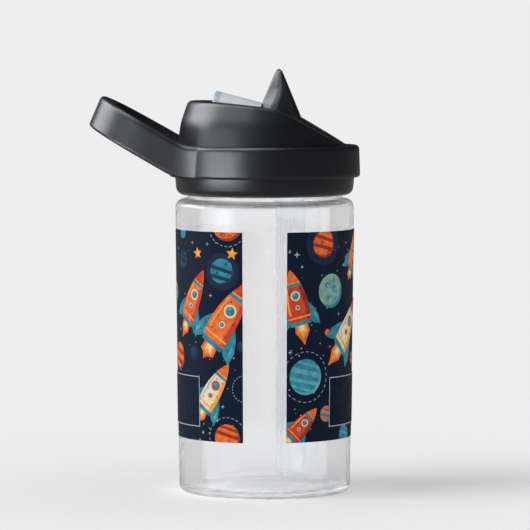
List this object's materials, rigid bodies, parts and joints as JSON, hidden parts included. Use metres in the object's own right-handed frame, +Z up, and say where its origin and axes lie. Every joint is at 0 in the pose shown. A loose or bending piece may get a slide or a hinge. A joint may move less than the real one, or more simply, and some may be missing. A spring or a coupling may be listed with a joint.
{
  "type": "kids water bottle",
  "caption": "Clear kids' water bottle with a printed wrap, a black screw cap with a carry loop, and a flip-up straw spout with a silicone bite valve.",
  "frame": {"origin": "centre of the bottle's underside, on the plane it stands on and on the bottle's axis", "axes": "+Z up along the bottle's axis, -X towards the carry loop, Y along the spout's pivot"},
  "size_m": [0.1107, 0.0776, 0.1727],
  "materials": {
    "clear_shell": "clear polished copolyester",
    "print": "satin printed film with a white back",
    "black_plastic": "satin black moulded plastic",
    "valve_silicone": "translucent frosted silicone",
    "straw_plastic": "translucent natural plastic",
    "seal_silicone": "grey silicone"
  },
  "bodies": {
    "bottle": {"bottle_shell": "clear_shell", "printed_wrap": "print"},
    "gasket": {"cap_gasket": "seal_silicone"},
    "cap": {"cap_body": "black_plastic", "carry_handle": "black_plastic", "dome_cover": "black_plastic", "straw": "straw_plastic", "spout_seal": "seal_silicone", "vent_valve": "seal_silicone"},
    "spout": {"spout": "black_plastic", "bite_valve": "valve_silicone"}
  },
  "joints": [
    {"name": "cap_lift", "type": "slide", "parent": "bottle", "child": "gasket", "axis": [0, 0, 1], "range_m": [0, 0.0075]},
    {"name": "cap_turn", "type": "hinge", "parent": "gasket", "child": "cap", "pos_m": [0, 0, 0.1367], "axis": [0, 0, 1], "range_deg": [0, 540]},
    {"name": "spout_flip", "type": "hinge", "parent": "cap", "child": "spout", "pos_m": [0.0107, 0, 0.1477], "axis": [0, 1, 0], "range_deg": [0, 90]}
  ],
  "couplings": [
    {"joint": "cap_lift", "follows": "cap_turn", "m_per_rad": 0.00079577}
  ]
}
